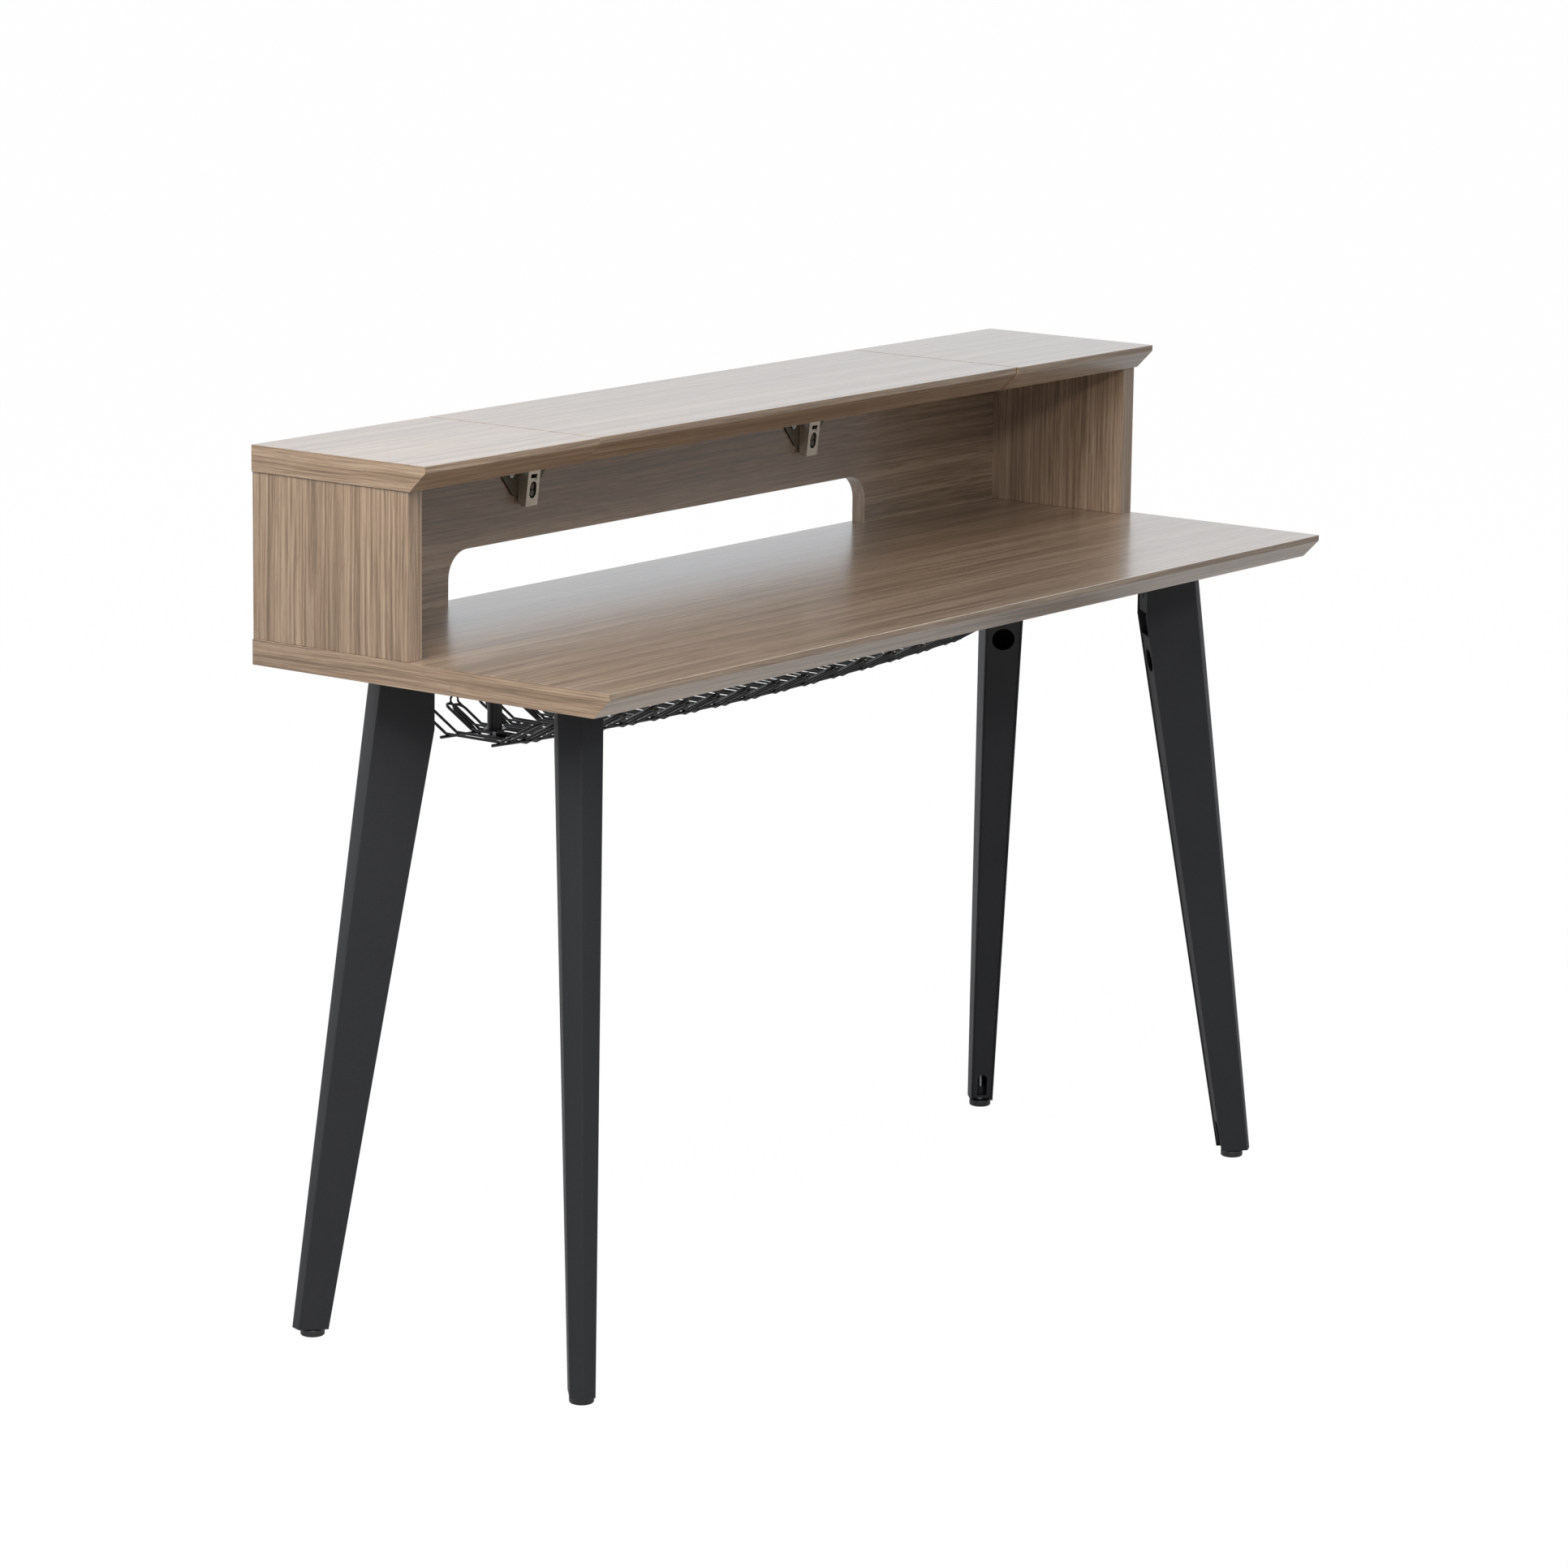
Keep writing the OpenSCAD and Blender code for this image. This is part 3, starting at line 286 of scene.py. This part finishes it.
# a leg's shell hangs under its bracket's flange and ends just above its foot
bracket_sheet, foot_gap = 0.003, 0.001
shell_top = underside - bracket_sheet
shell_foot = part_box("foot_glide_fl")[1].z + foot_gap
leg_inset, ridge_top_y, leg_set_back = 0.091, 0.1403, 0.0136
ridge_top = Vector((desk_half - leg_inset, ridge_top_y, 0))
leg_turn = math.radians(43)
leg_splay = 0.0848                   # how far the ridge leans out from top to foot
top_width, foot_width = 0.0474, 0.0268
top_wall, foot_wall = 0.0651, 0.0315
ridge_share = 0.45                   # rise of the ridge as a share of half the width
leg_sheet = 0.002
outer_fold, inner_fold = 0.0028, 0.0014
knee_drop, knee_round = 0.068, 0.002
knee = underside - knee_drop         # the walls' inner edges stand upright above this
leg_steps, fold_steps = 12, 5


def between(start, end, share):
    """A value on the way from start to end."""
    return start + (end - start) * share


def leg_level(z):
    """Half width, ridge and inner edge of a leg at one height, measured along its splay."""
    down = (underside - z) / (underside - shell_foot)
    low = (underside - min(z, knee)) / (underside - shell_foot)
    half = between(top_width, foot_width, down) / 2
    low_half = between(top_width, foot_width, low) / 2
    inner = leg_splay * low - ridge_share * low_half - between(top_wall, foot_wall, low)
    return half, leg_splay * down, inner


def rounded_line(points, radius, steps):
    """A line through 2D points with its inner corners rounded."""
    out = [points[0]]
    for before, at, after in zip(points, points[1:], points[2:]):
        a, b = (before - at).normalized(), (after - at).normalized()
        reach = radius / math.tan(a.angle(b) / 2)
        start, end = at + a * reach, at + b * reach
        for i in range(steps + 1):
            t = i / steps
            out.append(start * (1 - t) ** 2 + at * 2 * t * (1 - t) + end * t ** 2)
    return out + [points[-1]]


def leg_ring(z):
    """The folded sheet's section at one height, round its outside and back on its inside."""
    half, ridge, inner = leg_level(z)
    ring = []
    for inset, fold, order in ((0, outer_fold, 1), (leg_sheet, inner_fold, -1)):
        tip = ridge - inset * math.sqrt(1 + ridge_share ** 2)
        side = half - inset
        shoulder = tip - ridge_share * side
        corners = [Vector((inner, -side)), Vector((shoulder, -side)), Vector((tip, 0)),
                   Vector((shoulder, side)), Vector((inner, side))]
        ring += rounded_line(corners, fold, fold_steps)[::order]
    return [Vector((p.x, p.y, z)) for p in ring]


def leg_shell(tag):
    """One leg's folded shell. tag says front or rear, then left or right."""
    side = -1 if tag[1] == "l" else 1
    end = -1 if tag[0] == "f" else 1
    levels = [shell_top, knee + knee_round, knee, knee - knee_round]
    levels += [between(knee - knee_round, shell_foot, i / leg_steps)
               for i in range(1, leg_steps + 1)]
    shape = bmesh.new()
    rings = [[shape.verts.new(p) for p in leg_ring(z)] for z in levels]
    count = len(rings[0])
    for upper, lower in zip(rings, rings[1:]):
        for i in range(count):
            j = (i + 1) % count
            shape.faces.new((upper[i], upper[j], lower[j], lower[i]))
    for ring in (rings[0], rings[-1]):
        for i in range(count // 2 - 1):
            shape.faces.new((ring[i], ring[i + 1], ring[count - 2 - i], ring[count - 1 - i]))
    corner = Matrix.Translation(ridge_top) @ Matrix.Rotation(leg_turn, 4, "Z")
    mirrored = Matrix.Diagonal((side, end, 1, 1)) @ corner
    shape.transform(Matrix.Translation((0, leg_set_back, 0)) @ mirrored)
    bmesh.ops.recalc_face_normals(shape, faces=shape.faces)
    mesh = bpy.data.meshes.new("leg_" + tag)
    shape.to_mesh(mesh)
    shape.free()
    return dressed("leg_folded_" + tag, mesh, leg_powder)


def finished(material, *names):
    """Gives CAD nodes their material."""
    for name in names:
        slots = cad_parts[name].data.materials
        slots.clear()
        slots.append(material)


leg_tags = ("fl", "fr", "rl", "rr")
for tag in leg_tags:
    fitted(leg_shell(tag), "desk", "leg_black", "leg_shell_" + tag)
    finished(leg_powder, "leg_plate_" + tag, "leg_bracket_" + tag)

# -------------------------------------------------------------------------------- the feet
# Round glides of black polyamide, moulded over the head of a zinc-plated steel stud that
# screws into a socket welded inside each leg.


def flecked(name, colours, fleck_mm, roughness, ior):
    """A plain material with a fine fleck, as in moulded plastic or turned wood."""
    material, tree, shader = new_material(name)
    place = add(tree, "ShaderNodeTexCoord").outputs["Object"]
    fleck = add(tree, "ShaderNodeTexNoise", {"Vector": place, "Scale": 1000 / fleck_mm,
                                             "Detail": 2}).outputs["Fac"]
    shade = add(tree, "ShaderNodeMix", {0: fleck, 6: linear(colours[0]), 7: linear(colours[1])},
                data_type="RGBA")
    tree.links.new(shade.outputs[2], shader.inputs["Base Color"])
    shader.inputs["Roughness"].default_value = roughness
    shader.inputs["IOR"].default_value = ior
    return material


polish, tarnish = 0.05, 0.08         # how far a plating's roughness strays down and up


def plated(name, colours, roughness, mark_mm):
    """Electroplated metal: a bright skin with faint drawing marks."""
    material, tree, shader = new_material(name)
    place = add(tree, "ShaderNodeTexCoord").outputs["Object"]
    mark = add(tree, "ShaderNodeTexNoise", {"Vector": place, "Scale": 1000 / mark_mm,
                                            "Detail": 3}).outputs["Fac"]
    shade = add(tree, "ShaderNodeMix", {0: mark, 6: linear(colours[0]), 7: linear(colours[1])},
                data_type="RGBA")
    tree.links.new(shade.outputs[2], shader.inputs["Base Color"])
    dull = add(tree, "ShaderNodeMapRange", {0: mark, 1: noise_low, 2: noise_high,
                                            3: roughness - polish, 4: roughness + tarnish})
    tree.links.new(dull.outputs[0], shader.inputs["Roughness"])
    shader.inputs["Metallic"].default_value = 1
    return material


# polyamide straight from the mould scatters light softly and looks a warm black
glide_plastic = flecked("polyamide, moulded black", ("#141416", "#232326"), 1.67, 0.45, 1.53)
# passivated zinc is a bright grey with a cool cast
zinc_plate = plated("zinc plate, clear passivated", ("#8d9195", "#babec2"), 0.3, 3)


def lathe(name, profile, centre, material, sides=64):
    """A round piece from (radius, height) points, about an upright axis."""
    shape = bmesh.new()
    rings = []
    for radius, height in profile:
        count = sides if radius else 1
        rings.append([shape.verts.new((centre[0] + radius * math.cos(math.tau * i / sides),
                                       centre[1] + radius * math.sin(math.tau * i / sides),
                                       height)) for i in range(count)])
    for low, high in zip(rings, rings[1:]):
        for i in range(sides):
            j = (i + 1) % sides
            corners = [low[i % len(low)], low[j % len(low)], high[j % len(high)],
                       high[i % len(high)]]
            shape.faces.new(list(dict.fromkeys(corners)))
    bmesh.ops.recalc_face_normals(shape, faces=shape.faces)
    mesh = bpy.data.meshes.new(name)
    shape.to_mesh(mesh)
    shape.free()
    return dressed(name, mesh, material)


def arc_points(centre, radius, start, end, steps):
    """Points of a profile along an arc, with its angles in degrees."""
    angles = [math.radians(between(start, end, i / steps)) for i in range(steps + 1)]
    return [(centre[0] + radius * math.cos(a), centre[1] + radius * math.sin(a)) for a in angles]


rim_round, shoulder_round = 0.0022, 0.0012
for tag in leg_tags:
    low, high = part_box("foot_glide_" + tag)
    middle = ((low.x + high.x) / 2, (low.y + high.y) / 2)
    glide_radius, glide_top = (high.x - low.x) / 2, high.z
    rim = arc_points((glide_radius - rim_round, rim_round), rim_round, -90, 0, steps=6)
    shoulder = arc_points((glide_radius - shoulder_round, glide_top - shoulder_round),
                          shoulder_round, 0, 90, steps=4)
    glide = lathe("foot_turned_" + tag, [(0, 0)] + rim + shoulder + [(0, glide_top)], middle,
                  glide_plastic)
    fitted(glide, "foot_" + tag, "black_plastic", "foot_glide_" + tag)
    finished(zinc_plate, "foot_stud_" + tag)
    finished(leg_powder, "foot_socket_" + tag)

# ------------------------------------------------------------------------------ the hinges
# Concealed cabinet hinges. Arm, link and cup are pressed from steel strip, and the mounting
# plate and adjusters are zinc castings. All are nickel plated, which gives the pressings a warm
# grey with soft highlights. The castings' plating is painted darker: painted shade for the
# adjusters' recess and painted dark reflections on the mounting plate.

nickel_plate = plated("nickel plate, pressed steel", ("#a79f92", "#d8d1c4"), 0.33, 2)
# painted shade: the same nickel darkened, for the shade in the arm's recess and the dark
# reflections on the mounting plate
nickel_painted_shade = plated("nickel plate over die-cast zinc, darkened as painted shade", ("#3f3b35", "#6a6459"), 0.34, 2)
hinge_edge, hinge_shortest = 0.0005, 0.004
for tag in ("left", "right"):
    for name, plating in (("hinge_arm_" + tag, nickel_plate), ("hinge_plate_" + tag, nickel_painted_shade)):
        fitted(softened(name, hinge_edge, hinge_shortest, plating), "desk", "nickel", name)
    finished(nickel_plate, "hinge_cup_" + tag, "hinge_link_" + tag)
# painted shade on the adjusters, which sit in the arm's shaded recess
finished(nickel_painted_shade, "hinge_adjusters")

# ------------------------------------------------------------------------- screws and pins
# Steel wood screws and bolts from the box of fittings, and the hinges' riveted pins. All are
# plated with zinc.

finished(zinc_plate, "arm_pins", "cup_pins", "hinge_plate_screws", "cup_screws",
         "lid_rest_screws", "hutch_screws", "leg_screws", "tray_bolts")

# ------------------------------------------------------------------------------- lid rests
# Short steel strips screwed under the fixed boards, in the legs' powder coat. The lid's ends
# come down on them.

finished(leg_powder, "lid_rest_left", "lid_rest_right")

# ---------------------------------------------------------------------------------- dowels
# Fluted beech dowels, glued into holes between the hutch's boards. They can't be seen once it
# is together.

# turned beech is pale, even and dry
beech = flecked("beech, turned and fluted", ("#b9936a", "#dcbf98"), 2.5, 0.6, 1.5)
finished(beech, "dowels")

# ------------------------------------------------------------------------------ cable tray
# Mild steel wire, bent and spot welded on two rods that sag a little between the posts, and
# dipped hot in black powder. Posts and clamp discs hang it from the worktop.

# dipped powder melts thicker, blacker and glossier than the spray on the legs
wire_powder = powder_coat("epoxy powder coat, wire", ("#0b0c0e", "#15161a"), 0.6, 0.34)
finished(wire_powder, "tray_rod_front", "tray_rod_rear", "tray_post_left", "tray_post_right",
         "tray_clamps")

tray_inset, tray_drop, rod_sag = 0.232, 0.1038, 0.0125
rod_reach, rod_ends_z = desk_half - tray_inset, underside - tray_drop
rod_arc = (rod_reach ** 2 + rod_sag ** 2) / (2 * rod_sag)
rod_wire, lower_wire, upper_wire = 0.0034, 0.0026, 0.002
powder_build = 0.0006                # the dipped coat on the bare wire
bend_radius, knuckle_rise = 0.004, 0.0022
bend_steps, tip_steps = 6, 12
row_start, row_pitch, row_count = -0.3697, 0.0549, 15
narrow_loop, wide_loop = 0.012, 0.0174
end_loop_x, end_flank_share = -0.410, 1.37
# each row's front and rear bends, along Y, and the run and rise of its front and rear flanks
lower_bends, lower_flanks = (0.104, 0.1795), ((0.034, 0.018), (0.039, 0.023))
under_bends, under_flanks = (0.112, 0.1745), ((0.0405, 0.0222), (0.044, 0.027))
upper_bends, upper_flanks = (0.1002, 0.1830), ((0.0302, 0.0160), (0.0355, 0.0209))
rod_gap = 0.00005
lower_rest = (rod_wire + lower_wire) / 2 + rod_gap
upper_lift = 0.0048                  # up from the lower row
under_shift, upper_shift = 0.012, 0.007      # along X from the lower row


def bent_loop(width, wire, bends, flanks, upright=False):
    """The path of one closed wire loop, before it is laid on the rods. An upright loop ends
    at the rear in a short knuckle that stands up."""
    front, rear = flanks
    lean_front, lean_rear = math.atan2(front[1], front[0]), math.atan2(rear[1], rear[0])
    out_front = Vector((-math.cos(lean_front), math.sin(lean_front)))
    out_rear = Vector((math.cos(lean_rear), math.sin(lean_rear)))
    first, last = Vector((bends[0], 0)), Vector((bends[1], 0))
    front_tip = first + out_front * (math.hypot(*front) - width / 2)
    line = [front_tip, first, last]
    if upright:
        knuckle = last + out_rear * (math.hypot(*rear) - wire)
        line += [knuckle, knuckle + Vector((0, knuckle_rise))]
        out_rear = Vector((0, 1))
    else:
        line.append(last + out_rear * (math.hypot(*rear) - width / 2))
    side = rounded_line(line, bend_radius, bend_steps)
    path = [Vector((-width / 2, p.x, p.y)) for p in side]
    for tip, out, start in ((line[-1], out_rear, -1), (front_tip, out_front, 1)):
        for i in range(1, tip_steps):
            turn = math.pi * i / tip_steps
            reach = tip + out * (width / 2 * math.sin(turn))
            path.append(Vector((start * width / 2 * math.cos(turn), reach.x, reach.y)))
        if start == -1:
            path += [Vector((width / 2, p.x, p.y)) for p in reversed(side)]
    return path


def laid_on_rods(path, x, lift):
    """Turns a loop's path square to the sagging rods where it crosses them."""
    tilt = Matrix.Rotation(-math.asin(x / rod_arc), 4, "Y")
    rod_z = rod_ends_z - rod_sag + rod_arc - math.sqrt(rod_arc ** 2 - x ** 2)
    place = Matrix.Translation((x, 0, rod_z)) @ tilt @ Matrix.Translation(lift)
    return [place @ p for p in path]


def wires(name, paths, diameter, material):
    """Closed round wires, as one mesh."""
    curve = bpy.data.curves.new(name, "CURVE")
    curve.dimensions = "3D"
    curve.bevel_depth = diameter / 2
    curve.bevel_resolution = 2
    for path in paths:
        spline = curve.splines.new("POLY")
        spline.points.add(len(path) - 1)
        for point, at in zip(spline.points, path):
            point.co = (at.x, at.y, at.z, 1)
        spline.use_cyclic_u = True
    drawn = bpy.data.objects.new(name + "_path", curve)
    mesh = bpy.data.meshes.new_from_object(drawn)
    bpy.data.objects.remove(drawn)
    return dressed(name, mesh, material, smooth_up_to=math.pi)


row = [row_start + i * row_pitch for i in range(row_count)]
end_flanks = ([end_flank_share * v for v in lower_flanks[0]], lower_flanks[1])
lower_loop = bent_loop(narrow_loop, lower_wire, lower_bends, lower_flanks)
end_loop = bent_loop(wide_loop, lower_wire, lower_bends, end_flanks)
under_loop = bent_loop(wide_loop, lower_wire, under_bends, under_flanks)
upper_loop = bent_loop(narrow_loop, upper_wire, upper_bends, upper_flanks, upright=True)

# a row on the rods with its wide end loop, and a row of wide loops welded under the rods
lower = [laid_on_rods(lower_loop, x, (0, 0, lower_rest)) for x in row]
lower.append(laid_on_rods(end_loop, end_loop_x, (0, 0, lower_rest)))
lower += [laid_on_rods(under_loop, x, (under_shift, 0, -lower_rest)) for x in row]
# a row of thinner wire on top, resting on the lower row's flanks
upper = [laid_on_rods(upper_loop, x, (upper_shift, 0, lower_rest + upper_lift)) for x in row]
fitted(wires("tray_wires_lower", lower, lower_wire + powder_build, wire_powder),
       "desk", "leg_black", "tray_loops_lower")
fitted(wires("tray_wires_upper", upper, upper_wire + powder_build, wire_powder),
       "desk", "leg_black", "tray_loops_upper")

# ----------------------------------------------------------------------------------- floor
# A studio floor in matt off-white paint. It glows white to the camera, with only a faint
# shadow left, and much less to glossy faces. To all other light it is plain paint.

floor_half = 30
floor_glow = 1.02                    # a little past white, so that the floor has no edge
share_seen, share_mirrored = 0.97, 0.3
floor_corners = [(x * floor_half, y * floor_half, 0)
                 for x, y in ((-1, -1), (1, -1), (1, 1), (-1, 1))]
floor_mesh = bpy.data.meshes.new("studio_floor")
floor_mesh.from_pydata(floor_corners, [], [(0, 1, 2, 3)])
floor = bpy.data.objects.new("studio_floor", floor_mesh)
bpy.context.scene.collection.objects.link(floor)

floor_paint, floor_tree, floor_shader = new_material("studio floor paint")
floor_shader.inputs["Base Color"].default_value = linear("#e6e6e6")
floor_shader.inputs["Roughness"].default_value = 0.9
floor_ray = add(floor_tree, "ShaderNodeLightPath").outputs
seen = add(floor_tree, "ShaderNodeMath", {0: floor_ray["Is Camera Ray"],
                                          1: floor_ray["Is Transmission Ray"]},
           operation="MAXIMUM")
seen = add(floor_tree, "ShaderNodeMath", {0: seen.outputs[0], 1: share_seen},
           operation="MULTIPLY")
mirrored = add(floor_tree, "ShaderNodeMath", {0: floor_ray["Is Glossy Ray"], 1: share_mirrored},
               operation="MULTIPLY")
seen = add(floor_tree, "ShaderNodeMath", {0: seen.outputs[0], 1: mirrored.outputs[0]},
           operation="MAXIMUM")
glow = add(floor_tree, "ShaderNodeEmission", {"Color": (1, 1, 1, 1), "Strength": floor_glow})
floor_mix = add(floor_tree, "ShaderNodeMixShader", {0: seen.outputs[0],
                                                    1: floor_shader.outputs[0],
                                                    2: glow.outputs[0]})
floor_tree.links.new(floor_mix.outputs[0], floor_tree.nodes["Material Output"].inputs["Surface"])
floor_mesh.materials.append(floor_paint)

# -------------------------------------------------------------------------------- surround
# White studio walls all round. The camera, mirrors and glass see them white, and they send
# only a faint cool light on the desk.

wall_light, wall_seen = 0.03, 1.0    # strength of the walls as a light, and as seen
surround = bpy.data.worlds.new("studio surround")
bpy.context.scene.world = surround
surround.use_nodes = True
walls = surround.node_tree
wall_ray = add(walls, "ShaderNodeLightPath").outputs
white_to = add(walls, "ShaderNodeMath", {0: wall_ray["Is Camera Ray"],
                                         1: wall_ray["Is Glossy Ray"]}, operation="MAXIMUM")
white_to = add(walls, "ShaderNodeMath", {0: white_to.outputs[0],
                                         1: wall_ray["Is Transmission Ray"]},
               operation="MAXIMUM")
strength = add(walls, "ShaderNodeMapRange", {0: white_to.outputs[0], 1: 0.0, 2: 1.0,
                                             3: wall_light, 4: wall_seen})
tint = add(walls, "ShaderNodeMix", {0: wall_ray["Is Camera Ray"], 6: linear("#f7fbff"),
                                    7: (1, 1, 1, 1)}, data_type="RGBA")
walls.links.new(tint.outputs[2], walls.nodes["Background"].inputs["Color"])
walls.links.new(strength.outputs[0], walls.nodes["Background"].inputs["Strength"])

# ----------------------------------------------------------------------------------- lamps
# Square soft boxes that face the desk: a near one high off its left end, one at the camera's
# side that throws the hutch's shadows, and wide fills from the rear and the right.

lamp_aim = Vector((0, 0, 0.75))


def soft_box(name, place, size, watts, colour):
    """A square soft box that faces the desk."""
    data = bpy.data.lights.new(name, "AREA")
    data.energy = watts
    data.size = size
    data.color = linear(colour)[:3]
    lamp = bpy.data.objects.new(name, data)
    bpy.context.scene.collection.objects.link(lamp)
    lamp.location = place
    lamp.rotation_euler = (lamp_aim - lamp.location).to_track_quat("-Z", "Y").to_euler()


soft_box("side soft box", (-1.55, -0.45, 2.0), 0.9, 34, "#fffaf5")
soft_box("front soft box", (-3.9, -3.9, 3.15), 0.6, 70, "#fffaf5")
soft_box("rear fill", (-0.6, 4.2, 1.5), 2.6, 45, "#ffffff")
soft_box("right fill", (3.5, -0.3, 3.0), 2.6, 38, "#ffffff")

# ---------------------------------------------------------------------------------- camera
# A long lens at the front left, a little above the hutch and tipped down. It is turned by its
# pitch, roll and heading in degrees.

focal_px, frame_px, sensor_mm = 6938.72, 1932, 36
camera_place = Vector((-4.901468, -3.631017, 1.780699))
camera_turn = Euler([math.radians(angle) for angle in (78.36676, -0.73848, -52.99074)])
camera_data = bpy.data.cameras.new("camera")
camera_data.sensor_fit = "HORIZONTAL"
camera_data.sensor_width = sensor_mm
camera_data.lens = focal_px * sensor_mm / frame_px
camera_data.clip_end = 60
camera = bpy.data.objects.new("camera", camera_data)
bpy.context.scene.collection.objects.link(camera)
camera.matrix_world = Matrix.LocRotScale(camera_place, camera_turn, None)
bpy.context.scene.camera = camera
bpy.context.scene.view_settings.view_transform = "Standard"
